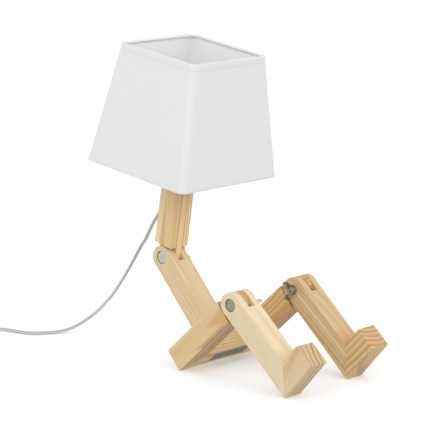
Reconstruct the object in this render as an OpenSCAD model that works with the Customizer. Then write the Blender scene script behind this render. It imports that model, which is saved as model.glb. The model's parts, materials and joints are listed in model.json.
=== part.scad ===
// Seated stick-figure desk lamp: pine limbs with bridle joints, bolts and wing nuts,
// a square tapered shade on an E27 holder, and a mains lead with switch and plug.
// Lengths in mm. X across the lamp, -Y to the front, Z up, the floor at Z = 0.

/* [Timber] */
// Width of every limb, across the lamp
limb_w = 29; // [22:0.5:34]
// Thickness of the legs, the crossbar and the torso
limb_t = 30; // [24:0.5:36]
// Depth of the neck, front to back
neck_d = 29; // [22:0.5:34]
// Width of the neck, across the lamp
neck_w = 30; // [24:0.2:35]
// Chamfer along the long edges of each limb
edge_ease = 0.6; // [0.3:0.1:2]

/* [Seat frame] */
// Width over both thighs
frame_w = 140; // [120:1:180]
// Slope of the thighs above the floor, in degrees
frame_pitch = 42; // [36:1:46]
// Rear edge of the crossbar to the knee pivot
thigh_len = 126.5; // [110:0.5:140]
// Lower face of the crossbar to the neck pivot
torso_len = 146; // [120:1:170]

/* [Lower legs] */
// Knee pivot to the sole
shin_len = 128; // [122:1:140]
// Heel to toe tip
foot_len = 60; // [45:1:80]

/* [Neck] */
// Neck pivot to the top of the wood
neck_len = 98; // [88:1:115]
// Depth of the short step at the lower rear corner of each cheek
step_d = 8; // [0:0.5:12]
// Height of that step
step_h = 1.5; // [0:0.5:6]
// Lean of the neck to the front, in degrees from upright
neck_lean = 9.5; // [0:0.5:20]

/* [Bridle joints] */
// Thickness of each tongue
tongue_t = 9.6; // [7:0.2:12]
// Gap between a tongue and each cheek of its fork
slot_gap = 0.45; // [0.1:0.05:0.8]
// Gap between a rounded end and the shoulder it turns past
shoulder_gap = 1; // [0.6:0.1:2]

/* [Bolts and wing nuts] */
// Bolt shank
bolt_d = 6; // [5:0.5:8]
// Radial play of a shank in its bore
bolt_play = 0.05; // [0.02:0.01:0.1]
// Round bolt head
head_d = 15.3; // [14:0.1:19]
// Thickness of the bolt head
head_t = 3; // [2:0.5:4]
// Depth of the recess that holds the head
recess_depth = 3.5; // [3:0.1:4.5]
// Radial gap round the head in its recess
recess_gap = 0.5; // [0.3:0.1:1]
// Square neck under the head, across flats
square_w = 6.6; // [6.2:0.1:8.5]
// Length of the square neck
square_len = 3; // [2:0.5:4]
// Washer diameter
washer_d = 12.5; // [11:0.5:16]
// Washer thickness
washer_t = 1.2; // [0.8:0.1:2]
// Width over the wings of a wing nut
wing_span = 24; // [20:1:28]
// Height of the wing nut's hub
nut_h = 7; // [5:0.5:9]
// Bolt end standing out of the nut
bolt_proud = 1.5; // [0.5:0.5:3]

/* [Glued joints] */
// Dowel diameter in the mitres
dowel_d = 6; // [4:1:8]
// Dowel length
dowel_len = 20; // [14:1:22]
// Half the distance between the two dowels of a mitre
dowel_row = 6; // [4:0.5:9]
// Glue gap round a dowel
glue_gap = 0.05; // [0.02:0.01:0.1]

/* [Shade] */
// Width of the shade at its lower edge
shade_bottom_w = 168; // [150:1:190]
// Width of the shade at its upper edge
shade_top_w = 127.4; // [110:1:150]
// Height of the shade
shade_h = 150; // [120:1:170]
// Radius of the shade's vertical corners
shade_corner_r = 9; // [5:0.5:14]
// Wall of the shade: fabric on its liner
shade_wall = 0.8; // [0.5:0.1:1.5]
// Turn of the shade about the neck, in degrees
shade_turn = 0; // [-8:0.5:8]
// Nod of the shade to the back on its fitter ring, in degrees
shade_nod = 1.5; // [0:0.5:4]
// Distance by which the shade sits forward on its holder, within the fitter ring's play
shade_forward = 2.5; // [0:0.5:3]
// Lower edge of the shade above the wood of the neck
shade_lift = 18.5; // [12:0.5:26]
// Wire of the two shade frames
wire_d = 3; // [2:0.5:4]
// Rise of the fitter ring above the shade's lower edge
fitter_rise = 12; // [9:0.5:14]
// Height of the folded hem on the outside
hem_h = 8; // [5:0.5:12]
// Thickness of the hem tape
hem_t = 0.4; // [0.3:0.1:0.8]

/* [Lamp holder] */
// Diameter of the holder's cap
cap_d = 40; // [38:0.5:46]
// Height of the cap
cap_h = 20; // [18:0.5:24]
// Diameter of the holder's threaded body
body_d = 39; // [37:0.5:40]
// Height of the body above the cap
body_h = 38; // [34:1:44]
// Wall of the cap and the body
holder_wall = 2; // [1.5:0.1:3]
// Diameter of the threaded nipple
nipple_d = 10; // [8:0.5:12]
// Depth of the nipple in the neck
nipple_depth = 30; // [20:1:40]
// Outer diameter of the clamping rings and the fitter ring
ring_d = 54; // [50:1:60]

/* [Bulb] */
// Diameter of the bulb's globe
globe_d = 55; // [45:1:60]
// Length of the bulb from contact to crown
bulb_len = 98; // [88:1:110]

/* [Cord] */
// Diameter of the cord
cord_d = 5; // [4:0.5:6]
// Length of the strain relief
relief_len = 26; // [20:1:40]
// Tilt of the strain relief away from the neck, in degrees
relief_tilt = 12; // [8:1:20]

/* [Hidden] */
$fn = 48;

// Play between still pieces that only touch
seat_gap = 0.02;
wire_gap = 0.1;

// Places in the side view, as distance forward of the crossbar's lower edge and height
pitch_u = [cos(frame_pitch), sin(frame_pitch)];
pitch_n = [-sin(frame_pitch), cos(frame_pitch)];
knee = thigh_len * pitch_u + limb_t / 2 * pitch_n;
neck_pivot = limb_t / 2 * pitch_u + torso_len * pitch_n;
heel_reach = norm([shin_len, limb_t / 2]);
shin_slope = asin(knee[1] / heel_reach) - atan2(limb_t / 2, shin_len);
toe_tip = knee + shin_len * [cos(shin_slope), -sin(shin_slope)]
    + (foot_len - limb_t / 2) * [sin(shin_slope), cos(shin_slope)];

// Wood screws up through the crossbar into the torso
screw_len = 60;
screw_d = 4;
screw_head_d = 8;

// Bare plate under the crossbar, off the middle by plate_x
plate_l = 62;
plate_w = 17;
plate_t = 0.2;
plate_x = 6;

// Wing nuts
wing_t = 2.4;
wing_r = 4.4;
nut_base_d = 12;
nut_top_d = 9.5;
head_bevel = 0.6;

// Joint shapes
side_x = (frame_w - limb_w) / 2;
slot_w = tongue_t + 2 * slot_gap;
ear_t = (limb_w - slot_w) / 2;
leg_notch = limb_t / 2 + shoulder_gap;
bore_d = bolt_d + 2 * bolt_play;
bolt_reach = limb_w - recess_depth + washer_t + nut_h + bolt_proud;
mitre_k = limb_w / limb_t;

// Heights along the neck's axis
neck_axis = 90 - neck_lean;
shade_s = neck_len + shade_lift;
shade_end = shade_s + shade_h;
cap_top = neck_len + cap_h;
fitter_s = shade_s + fitter_rise;
fitter_t = 1.5;
clamp_t = 4;
clamp_play = 0.1;
corner_steps = 5;

// Holder: nut on the nipple, floors, the strain relief behind the neck, and the leads
nut_t = 4;
floor_t = 3;
floor_step = 2;
body_floor_r = 11;
block_seat = 6;
relief_s = 9;
relief_q = cap_d / 2 - 2;
relief_r = 4;
boss_r = 5.6;
lead_d = 2;

// Outline of the shade: half width and corner radius at a height along the neck
shade_slope = (shade_bottom_w - shade_top_w) / 2 / shade_h;
function half_at(s) = shade_bottom_w / 2 - (s - shade_s) * shade_slope;
shade_lean = neck_lean - shade_nod;
rear_half = (half_at(shade_s - hem_t) - shade_corner_r) * (cos(shade_turn) + abs(sin(shade_turn)))
    + shade_corner_r + shade_wall / 2 + hem_t;
rear_reach = -neck_pivot[0] - fitter_s * sin(neck_lean) - shade_forward * cos(neck_lean)
    + (fitter_rise + hem_t) * sin(shade_lean) + rear_half * cos(shade_lean);
y_shift = (toe_tip[0] - rear_reach) / 2;

// Bulb, from its contact upwards
bulb_s = cap_top + 8;
screw_r = 13;
shell_gap = 0.35;
shell_t = 0.6;
cap_shell_h = 24;
globe_s = bulb_len - globe_d / 2;
globe_cut = 6;

// Cord route, in the lamp's own frame: it hangs behind the neck and lies on the floor
cord_z = 2.6;
hang_points = [
    [3, 131, 187], [5.5, 140, 171], [7, 154, 153], [11, 170, 132], [14, 184, 117], [15, 200, 95],
    [13, 215, 72], [8, 229, 50], [4, 236, 40], [-1, 242, 31], [-8, 248, 22.5], [-17, 252.5, 16],
    [-28, 257, 9.8], [-41, 263, 5], [-54, 270, cord_z], [-66, 278, cord_z]
];
floor_points = [
    [-66, 278, cord_z], [-75, 284, cord_z], [-82.5, 294, cord_z], [-87, 307, cord_z],
    [-90, 321, cord_z], [-94, 334, cord_z], [-100, 345, cord_z], [-108, 353.5, 3], [-119, 359.5, 4], [-130, 361, 5],
    [-137, 361, 5]
];
link_points = [
    [-197, 361, 5], [-204, 361, 5], [-214, 359, 4], [-224, 352, 3], [-232, 341, cord_z],
    [-236.5, 328, cord_z], [-238.5, 315, cord_z], [-237.4, 303, cord_z]
];
tail_points = [[-231, 315, 8.4], [-235, 300, 8], [-239, 286, 7], [-243, 272, 7]];

// Coil of the rest of the cord
coil_at = [-200, 306];
coil_turn_d = 11 * cord_d;
coil_columns = 5;

// Switch on the cord
switch_at = [-167, 361];
switch_l = 60;
switch_w = 26;
switch_h = 14;
switch_wall = 1.6;
switch_corner = 7;
rocker_r = 9;
rocker_w = 9;
rocker_tilt = 12;
rocker_z = 10;
trunnion_d = 2.4;

// Plug with two round pins
plug_at = [-243, 272];
plug_heading = -105;
plug_z = 7;
plug_l = 54;
plug_w = 35.4;
plug_t = 13.6;
pin_d = 4;
pin_len = 19;
pin_pitch = 19;
pin_root = 8;
pin_tip = 1;
pin_shaft_d = 3;

// ---- Placing -------------------------------------------------------------

// Side-view frame: local x along the slope, y square to it, z to the lamp's right (-X)
module in_side(place, slope) {
    translate([0, y_shift - place[0], place[1]])
        rotate([90, 0, -90])
            rotate([0, 0, slope])
                children();
}

// Neck-axis frame: x to +X, y to the back, z along the neck
module on_neck(s = 0) {
    in_side(neck_pivot, neck_axis)
        rotate([0, 90, 0])
            translate([0, 0, s])
                children();
}

// Shade's own frame: it leans and turns about the middle of the fitter ring
module on_shade() {
    on_neck(fitter_s)
        translate([0, -shade_forward, 0])
            rotate([-shade_nod, 0, 0])
                rotate([0, 0, shade_turn])
                    translate([0, 0, -fitter_s])
                        children();
}

module in_frame() {
    in_side([0, 0], frame_pitch) children();
}

module in_shin(side) {
    in_side(knee, -shin_slope)
        translate([0, 0, side * side_x])
            children();
}

module in_torso() {
    in_side(neck_pivot, frame_pitch - 90) children();
}

// ---- Timber --------------------------------------------------------------

function eased(a, b, c, d, e) = [
    [a + e, c], [b - e, c], [b, c + e], [b, d - e], [b - e, d], [a + e, d], [a, d - e], [a, c + e]
];

// Bar along local x, centred on z, with eased long edges
module bar(p0, p1, q0, q1, w, ease = edge_ease) {
    translate([p0, 0, 0])
        rotate([90, 0, 90])
            linear_extrude(p1 - p0)
                polygon(eased(q0, q1, -w / 2, w / 2, ease));
}

// Prism square to the side view, drawn in local x and y
module side_prism(points, w) {
    translate([0, 0, -w / 2])
        linear_extrude(w)
            polygon(points);
}

// Prism along local y, drawn in local x and z
module plan_prism(points, y0, y1) {
    translate([0, y1, 0])
        rotate([90, 0, 0])
            linear_extrude(y1 - y0)
                polygon(points);
}

module flipped(side) {
    mirror([0, 0, side < 0 ? 1 : 0]) children();
}

module drill(d, w) {
    cylinder(d = d, h = w, center = true);
}

// Fork at local x = 0 with rounded ears, its limb running to +x; the bolt head is on head_side
module forked_limb(reach, head_side) {
    difference() {
        union() {
            bar(0, reach, -limb_t / 2, limb_t / 2, limb_w);
            drill(limb_t, limb_w);
        }
        translate([-limb_t, -limb_t, -slot_w / 2])
            cube([limb_t + leg_notch, 2 * limb_t, slot_w]);
        drill(bore_d, 2 * limb_w);
        flipped(head_side) {
            translate([0, 0, limb_w / 2 - recess_depth])
                cylinder(d = head_d + 2 * recess_gap, h = limb_w);
            translate([0, 0, limb_w / 2 - ear_t / 2])
                cube([square_w + 2 * seat_gap, square_w + 2 * seat_gap, ear_t + 1], center = true);
        }
    }
}

// Mitre lines of the seat frame, in local x and z, run a little past the wood
function mitre_back(side) = [-1, side * (frame_w / 2 + mitre_k)];
function mitre_front(side) = [limb_t + 1, side * (frame_w / 2 - limb_w - mitre_k)];

module frame_mitre_dowels(d, len) {
    for (side = [-1, 1], row = [-1, 1])
        flipped(side)
            translate([limb_t / 2, limb_t / 2 + row * dowel_row, side_x])
                rotate([0, atan2(limb_w, limb_t), 0])
                    cylinder(d = d, h = len, center = true);
}

module foot_mitre_dowels(d, len) {
    for (row = [-1, 1])
        translate([shin_len - limb_t / 2, 0, row * dowel_row])
            rotate([0, 90, 45])
                cylinder(d = d, h = len, center = true);
}

module torso_screw_set(d, head, len) {
    for (side = [-1, 1])
        translate([limb_t / 2, 0, side * limb_w / 4])
            rotate([-90, 0, 0]) {
                cylinder(d = d, h = len);
                cylinder(d1 = head, d2 = d, h = (head - d) / 2);
            }
}

module thigh(side) {
    outer_end = thigh_len + limb_t;
    color("burlywood")
        in_frame()
            difference() {
                union() {
                    intersection() {
                        translate([0, 0, side * side_x])
                            bar(0, thigh_len - leg_notch, 0, limb_t, limb_w);
                        plan_prism([mitre_back(side), mitre_front(side),
                            [outer_end, mitre_front(side)[1]], [outer_end, mitre_back(side)[1]]],
                            -1, limb_t + 1);
                    }
                    translate([0, 0, side * side_x]) {
                        bar(thigh_len - 2 * leg_notch, thigh_len, 0, limb_t, tongue_t, 0.2);
                        translate([thigh_len, limb_t / 2, 0])
                            drill(limb_t, tongue_t);
                    }
                }
                translate([thigh_len, limb_t / 2, side * side_x])
                    drill(bore_d, 2 * limb_w);
                frame_mitre_dowels(dowel_d + 2 * glue_gap, dowel_len + 2 * glue_gap);
            }
}

module thigh_right() {
    thigh(1);
}

module thigh_left() {
    thigh(-1);
}

module crossbar() {
    color("tan")
        in_frame()
            difference() {
                intersection() {
                    linear_extrude(frame_w, center = true)
                        polygon(eased(0, limb_t, 0, limb_t, edge_ease));
                    plan_prism([mitre_back(1), mitre_front(1), mitre_front(-1), mitre_back(-1)],
                        -1, limb_t + 1);
                }
                frame_mitre_dowels(dowel_d + 2 * glue_gap, dowel_len + 2 * glue_gap);
                torso_screw_set(screw_d + 2 * glue_gap, screw_head_d + 2 * glue_gap, screw_len);
            }
}

module torso() {
    color("wheat")
        difference() {
            in_torso() forked_limb(torso_len - limb_t, 1);
            in_frame()
                torso_screw_set(screw_d + 2 * glue_gap, screw_head_d, screw_len + glue_gap);
        }
}

module frame_dowels() {
    color("peru")
        in_frame() frame_mitre_dowels(dowel_d, dowel_len);
}

module torso_screws() {
    color("gold")
        in_frame()
            translate([0, seat_gap, 0])
                torso_screw_set(screw_d, screw_head_d, screw_len - seat_gap);
}

// Bare foil plate on the crossbar's lower face
module rating_plate() {
    color("silver")
        in_frame()
            translate([limb_t / 2 - plate_w / 2, -plate_t, -plate_x - plate_l / 2])
                cube([plate_w, plate_t, plate_l]);
}

module shin(side) {
    past = limb_t + 1;
    color("wheat")
        in_shin(side)
            difference() {
                intersection() {
                    forked_limb(shin_len, side);
                    side_prism([[-past, -past], [shin_len + past - limb_t / 2, -past],
                        [shin_len - past - limb_t / 2, past], [-past, past]], 2 * limb_w);
                }
                foot_mitre_dowels(dowel_d + 2 * glue_gap, dowel_len + 2 * glue_gap);
            }
}

module foot(side) {
    past = foot_len + limb_t;
    color("burlywood")
        in_shin(side)
            difference() {
                intersection() {
                    rotate([0, 0, 90])
                        bar(-limb_t / 2, foot_len - limb_t / 2, -shin_len, limb_t - shin_len,
                            limb_w);
                    side_prism([[shin_len - limb_t / 2 + past, -past],
                        [shin_len - limb_t / 2 + past, past],
                        [shin_len - limb_t / 2 - past, past]], 2 * limb_w);
                }
                foot_mitre_dowels(dowel_d + 2 * glue_gap, dowel_len + 2 * glue_gap);
            }
}

module foot_dowels(side) {
    color("peru")
        in_shin(side) foot_mitre_dowels(dowel_d, dowel_len);
}

module shin_right() {
    shin(1);
}

module shin_left() {
    shin(-1);
}

module foot_right() {
    foot(1);
}

module foot_left() {
    foot(-1);
}

module foot_dowels_right() {
    foot_dowels(1);
}

module foot_dowels_left() {
    foot_dowels(-1);
}

// ---- Bolts, washers and wing nuts ------------------------------------------

// Coach bolt through a fork, its head in the recess on head_side
module coach_bolt(head_side) {
    color("darkgray")
        flipped(head_side)
            translate([0, 0, limb_w / 2 - recess_depth]) {
                cylinder(d = head_d, h = head_t - head_bevel);
                translate([0, 0, head_t - head_bevel])
                    cylinder(d1 = head_d, d2 = head_d - 5 * head_bevel, h = head_bevel);
                translate([0, 0, -square_len / 2])
                    cube([square_w, square_w, square_len], center = true);
                translate([0, 0, -bolt_reach])
                    cylinder(d = bolt_d, h = bolt_reach);
            }
}

module flat_washer(head_side) {
    color("silver")
        flipped(-head_side)
            translate([0, 0, limb_w / 2])
                difference() {
                    cylinder(d = washer_d, h = washer_t);
                    translate([0, 0, -1])
                        cylinder(d = bolt_d + 0.4, h = washer_t + 2);
                }
}

module wing_nut(head_side, turn) {
    color("lightgray")
        flipped(-head_side)
            translate([0, 0, limb_w / 2 + washer_t])
                rotate([0, 0, turn])
                    difference() {
                        union() {
                            cylinder(d1 = nut_base_d, d2 = nut_top_d, h = nut_h);
                            for (end = [0, 180])
                                rotate([90, 0, end])
                                    wing();
                        }
                        translate([0, 0, -1])
                            cylinder(d = bore_d, h = nut_h + 2);
                    }
}

// One wing, drawn with x outwards and y away from the wood
module wing() {
    tip = [wing_span / 2 - wing_r, nut_h + wing_r - 1];
    translate([0, 0, -wing_t / 2])
        linear_extrude(wing_t)
            union() {
                translate(tip) circle(wing_r);
                polygon([[bolt_d / 2 + 0.6, 1.5], [nut_base_d / 2, 1.5],
                    tip + wing_r * [cos(40), -sin(40)], tip + wing_r * [-cos(40), sin(40)],
                    [bolt_d / 2 + 0.6, nut_h - 0.5]]);
            }
}

module neck_bolt() {
    in_torso() coach_bolt(1);
}

module neck_washer() {
    in_torso() flat_washer(1);
}

module neck_wing_nut() {
    in_torso() wing_nut(1, 174);
}

module knee_bolt_right() {
    in_shin(1) coach_bolt(1);
}

module knee_washer_right() {
    in_shin(1) flat_washer(1);
}

module knee_wing_nut_right() {
    in_shin(1) wing_nut(1, 41);
}

module knee_bolt_left() {
    in_shin(-1) coach_bolt(-1);
}

module knee_washer_left() {
    in_shin(-1) flat_washer(-1);
}

module knee_wing_nut_left() {
    in_shin(-1) wing_nut(-1, 145);
}

// ---- Neck ------------------------------------------------------------------

module nipple_hole() {
    rotate([0, 90, 0])
        translate([0, 0, neck_len - nipple_depth - seat_gap])
            cylinder(d = nipple_d + 2 * glue_gap, h = nipple_depth + 1);
}

module neck_cheek(side) {
    color("burlywood")
        in_side(neck_pivot, neck_axis)
            difference() {
                intersection() {
                    bar(leg_notch, neck_len, -neck_d / 2, neck_d / 2, neck_w);
                    flipped(side)
                        translate([0, -neck_d, tongue_t / 2])
                            cube([neck_len + 1, 2 * neck_d, neck_w]);
                }
                translate([leg_notch - 1, neck_d / 2 - step_d, -neck_w])
                    cube([step_h + 1, step_d + 1, 2 * neck_w]);
                nipple_hole();
            }
}

module neck_cheek_right() {
    neck_cheek(1);
}

module neck_cheek_left() {
    neck_cheek(-1);
}

module neck_tongue() {
    color("tan")
        in_side(neck_pivot, neck_axis)
            difference() {
                union() {
                    bar(0, neck_len, -neck_d / 2, neck_d / 2, tongue_t, 0.2);
                    drill(neck_d, tongue_t);
                }
                drill(bore_d, 2 * limb_w);
                nipple_hole();
            }
}

// ---- Lamp holder -----------------------------------------------------------

module nipple() {
    color("goldenrod")
        on_neck(neck_len - nipple_depth)
            difference() {
                cylinder(d = nipple_d, h = nipple_depth + floor_t + nut_t + 2);
                translate([0, 0, -1])
                    cylinder(d = nipple_d - 2, h = nipple_depth + floor_t + nut_t + 4);
            }
}

module nipple_nut() {
    color("goldenrod")
        on_neck(neck_len + floor_t)
            difference() {
                cylinder(d = 15, h = nut_t, $fn = 6);
                translate([0, 0, -1])
                    cylinder(d = nipple_d + 2 * glue_gap, h = nut_t + 2);
            }
}

// Axis of the strain relief: it leaves the cap behind the neck and points down
module on_relief() {
    on_neck(neck_len + relief_s)
        translate([0, relief_q, 0])
            rotate([180 + relief_tilt, 0, 0])
                children();
}

module holder_cap() {
    r = cap_d / 2;
    color("white")
        difference() {
            union() {
                on_neck(neck_len)
                    rotate_extrude()
                        polygon([[nipple_d / 2 + glue_gap, 0], [r - 3, 0], [r, 3], [r, cap_h],
                            [r - holder_wall, cap_h], [r - holder_wall, floor_t],
                            [nipple_d / 2 + glue_gap, floor_t]]);
                on_relief()
                    translate([0, 0, -5])
                        cylinder(r = boss_r, h = relief_s + 4);
            }
            on_relief()
                translate([0, 0, -8])
                    cylinder(r = relief_r + seat_gap, h = relief_s + 20);
            on_neck(neck_len + cap_h)
                cylinder(d = cap_d - 2 * holder_wall, h = 20);
        }
}

module strain_relief() {
    color("gainsboro")
        on_relief()
            rotate_extrude()
                polygon([[0, -5], [relief_r, -5], [relief_r, relief_s + 2],
                    [cord_d / 2 + 0.6, relief_len], [0, relief_len]]);
}

// Round rod from one point to another in the plane x = 0
module rod(a, b, d) {
    translate(a)
        rotate([-atan2(b[1] - a[1], b[2] - a[2]), 0, 0])
            cylinder(d = d, h = norm(b - a));
}

// Short insulated leads from the strain relief to the contact block
module holder_leads() {
    low = [0, relief_q - 2.8, relief_s + neck_len + 5.4];
    high = [0, body_floor_r - 4.5, cap_top + floor_step - 0.7];
    for (side = [-1, 1])
        color(side < 0 ? "saddlebrown" : "royalblue")
            on_neck()
                translate([side * 1.6, 0, 0])
                    rod(low, high, lead_d);
}

module holder_body() {
    r = body_d / 2;
    color("white")
        on_neck(cap_top)
            rotate_extrude()
                polygon([[body_floor_r, 0], [cap_d / 2, 0], [cap_d / 2, 3], [r, 3],
                    [r, body_h - 1], [r - 1, body_h], [r - holder_wall, body_h],
                    [r - holder_wall, floor_step], [body_floor_r, floor_step]]);
}

module contact_block() {
    r = body_d / 2 - holder_wall - 0.1;
    color("ivory")
        on_neck(cap_top + floor_step)
            rotate_extrude()
                polygon([[0, 0], [r, 0], [r, block_seat], [screw_r + shell_gap + shell_t + 0.8, block_seat],
                    [screw_r + shell_gap + shell_t + 0.8, 20],
                    [screw_r + shell_gap + shell_t + wire_gap, 20],
                    [screw_r + shell_gap + shell_t + wire_gap, 3], [0, 3]]);
}

// Ridged wall of a screw shell, as radius over height
function ridge(r, s) = r - 0.6 + 0.6 * cos(360 * s / 3.6);

module screw_shell() {
    color("goldenrod")
        on_neck(bulb_s)
            rotate_extrude()
                difference() {
                    translate([0, -3 + seat_gap])
                        square([screw_r + shell_gap + shell_t, 25]);
                    translate([0, -3])
                        square([screw_r + shell_gap, 26]);
                }
}

module centre_contact() {
    color("goldenrod")
        on_neck(cap_top + 5)
            cylinder(d = 6, h = bulb_s - cap_top - 5);
}

module clamp_ring(s, lip) {
    r = body_d / 2 + clamp_play;
    color("white")
        on_neck(s)
            rotate_extrude()
                polygon([[r, 0], [ring_d / 2 - lip, 0], [ring_d / 2, lip],
                    [ring_d / 2, clamp_t], [r, clamp_t]]);
}

module clamp_ring_lower() {
    clamp_ring(fitter_s - clamp_t, 2);
}

module clamp_ring_upper() {
    color("white")
        on_neck(fitter_s + fitter_t + clamp_t)
            mirror([0, 0, 1])
                rotate_extrude()
                    polygon([[body_d / 2 + clamp_play, 0], [ring_d / 2 - 3.5, 0], [ring_d / 2 - 1.5, 2],
                        [ring_d / 2 - 1.5, clamp_t], [body_d / 2 + clamp_play, clamp_t]]);
}

// ---- Shade -----------------------------------------------------------------

// Points round the shade at height s, off mm outside the middle of its wall
function shade_loop(s, off) = [
    for (k = [0:3], i = [0:corner_steps])
        let (a = 90 * k + 90 * i / corner_steps, c = half_at(s) - shade_corner_r,
             sx = (k == 0 || k == 3) ? 1 : -1, sy = (k < 2) ? 1 : -1)
            [sx * c + (shade_corner_r + off) * cos(a), sy * c + (shade_corner_r + off) * sin(a), s]
];

// Closed band that follows the shade round, from a closed profile of [s, off] points
module around_shade(profile) {
    m = 4 * (corner_steps + 1);
    n = len(profile);
    points = [for (p = profile) each shade_loop(p[0], p[1])];
    faces = [for (j = [0:n - 1], i = [0:m - 1])
        [j * m + i, j * m + (i + 1) % m, ((j + 1) % n) * m + (i + 1) % m, ((j + 1) % n) * m + i]];
    polyhedron(points, faces, convexity = 6);
}

module shade_fabric() {
    h = shade_wall / 2;
    color("white")
        on_shade()
            around_shade([[shade_s, -h], [shade_s, h], [shade_end, h], [shade_end, -h]]);
}

module shade_hem_bottom() {
    h = shade_wall / 2;
    color("snow")
        on_shade()
            around_shade([[shade_s - hem_t, -h - wire_d], [shade_s - hem_t, h + hem_t],
                [shade_s + hem_h, h + hem_t], [shade_s + hem_h, h + seat_gap],
                [shade_s - seat_gap, h + seat_gap], [shade_s - seat_gap, -h - wire_d]]);
}

module shade_hem_top() {
    h = shade_wall / 2;
    color("snow")
        on_shade()
            around_shade([[shade_end + hem_t, -h - wire_d], [shade_end + seat_gap, -h - wire_d],
                [shade_end + seat_gap, h + seat_gap], [shade_end - hem_h, h + seat_gap],
                [shade_end - hem_h, h + hem_t], [shade_end + hem_t, h + hem_t]]);
}

// Round wire that follows the inside of the shade with its middle at height s
module wire_loop(s) {
    off = -shade_wall / 2 - wire_gap - wire_d / 2;
    around_shade([for (i = [0:7]) [s + wire_d / 2 * sin(-45 * i), off + wire_d / 2 * cos(-45 * i)]]);
}

// Lower wire loop, four arms and the fitter ring that the two clamp rings hold
module shade_frame_bottom() {
    wire_s = shade_s + wire_d / 2 + wire_gap;
    reach = half_at(wire_s) - shade_wall / 2 - wire_gap - wire_d / 2;
    inner = ring_d / 2 + shade_forward + wire_d / 2 + 0.3;
    drop = fitter_s + fitter_t / 2 - wire_s;
    color("white") {
        on_shade() {
            wire_loop(wire_s);
            for (k = [0:3])
                rotate([0, 0, 90 * k])
                    translate([inner, 0, wire_s + drop])
                        rotate([0, 90 + atan2(drop, reach - inner), 0])
                            cylinder(d = wire_d - 0.2, h = norm([drop, reach - inner]), $fn = 16);
        }
        on_neck(fitter_s + 0.05)
            translate([0, -shade_forward, 0])
                difference() {
                    cylinder(r = inner + 1, h = fitter_t - 0.1);
                    translate([0, 0, -1])
                        cylinder(d = body_d + 2 * shade_forward + 1, h = fitter_t + 2);
                }
    }
}

module shade_frame_top() {
    color("white")
        on_shade()
            wire_loop(shade_end - wire_d / 2 - wire_gap);
}

// ---- Bulb ------------------------------------------------------------------

module bulb_cap() {
    color("silver")
        on_neck(bulb_s) {
            rotate_extrude()
                polygon(concat([[0, 0], [4, 0], [5, 1.5], [screw_r - 2, 4]],
                    [for (i = [0:28]) [ridge(screw_r, i * 0.5), 5 + i * 0.5]],
                    [[screw_r - 0.4, cap_shell_h], [0, cap_shell_h]]));
        }
}

module bulb_collar() {
    color("white")
        on_neck(bulb_s + cap_shell_h)
            rotate_extrude()
                polygon([[0, 0], [screw_r + 0.4, 0], [screw_r + 1.4, 7], [globe_d / 2 - 8, 18],
                    [globe_d / 2 - 2.5, 31], [globe_d / 2 - 1.2, globe_s - cap_shell_h - globe_cut],
                    [0, globe_s - cap_shell_h - globe_cut]]);
}

module bulb_globe() {
    color("ivory")
        on_neck(bulb_s + globe_s)
            difference() {
                sphere(d = globe_d, $fn = 64);
                translate([0, 0, -globe_d - globe_cut])
                    cube(2 * globe_d, center = true);
            }
}

// ---- Cord ------------------------------------------------------------------

function unit(v) = v / norm(v);
function at_end(p, i) = i == 0 ? unit(p[1] - p[0])
    : i == len(p) - 1 ? unit(p[i] - p[i - 1]) : unit(p[i + 1] - p[i - 1]);

// Tube swept along the points, rings upright to the path
module swept_cord(p, sides = 8) {
    n = len(p);
    rings = [for (i = [0:n - 1])
        let (t = at_end(p, i), u = unit(cross(t, [0.3, 1, 0.2])), v = cross(t, u))
            for (k = [0:sides - 1])
                p[i] + cord_d / 2 * (cos(360 * k / sides) * u + sin(360 * k / sides) * v)];
    sides_faces = [for (i = [0:n - 2], k = [0:sides - 1], half = [0, 1])
        let (a = i * sides + k, b = i * sides + (k + 1) % sides)
            half == 0 ? [a, a + sides, b + sides] : [a, b + sides, b]];
    polyhedron(rings, concat(sides_faces, [[for (k = [0:sides - 1]) k]],
        [[for (k = [sides - 1:-1:0]) (n - 1) * sides + k]]), convexity = 8);
}

// Where the strain relief ends, and the way it points
relief_angle = neck_lean + relief_tilt;
relief_way = [0, sin(relief_angle), -cos(relief_angle)];
relief_root = [0,
    y_shift - neck_pivot[0] - (neck_len + relief_s) * sin(neck_lean) + relief_q * cos(neck_lean),
    neck_pivot[1] + (neck_len + relief_s) * cos(neck_lean) + relief_q * sin(neck_lean)];
cord_start = relief_root + (relief_len + seat_gap) * relief_way;

module cord_hanging() {
    color("whitesmoke")
        swept_cord(concat([cord_start, cord_start + 5 * relief_way], hang_points));
}

module cord_on_floor() {
    color("whitesmoke")
        swept_cord(floor_points);
}

module cord_to_coil() {
    color("whitesmoke")
        swept_cord(link_points);
}

module cord_to_plug() {
    color("whitesmoke")
        swept_cord(tail_points);
}

module cord_coil() {
    inner = (coil_turn_d - coil_columns * cord_d) / 2;
    outer = (coil_turn_d + coil_columns * cord_d) / 2;
    color("whitesmoke")
        translate(coil_at)
            rotate_extrude()
                polygon([[inner, 0.1], [outer, 0.1], [outer, 1.1 * cord_d],
                    [outer - cord_d / 2, 1.9 * cord_d], [inner + cord_d / 2, 1.9 * cord_d],
                    [inner, 1.1 * cord_d]]);
}

// ---- Switch ----------------------------------------------------------------

module rounded_plan(l, w, r) {
    union() {
        square([l - 2 * r, w], center = true);
        square([l, w - 2 * r], center = true);
        for (x = [-1, 1], y = [-1, 1])
            translate([x * (l / 2 - r), y * (w / 2 - r)])
                circle(r);
    }
}

module in_switch() {
    translate([switch_at[0], switch_at[1], 0]) children();
}

module switch_shell(z0, z1, cavity0, cavity1) {
    difference() {
        translate([0, 0, z0])
            linear_extrude(z1 - z0)
                rounded_plan(switch_l, switch_w, switch_corner);
        translate([0, 0, cavity0])
            linear_extrude(cavity1 - cavity0)
                rounded_plan(switch_l - 14 * switch_wall, switch_w - 2 * switch_wall, 2);
    }
}

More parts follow.
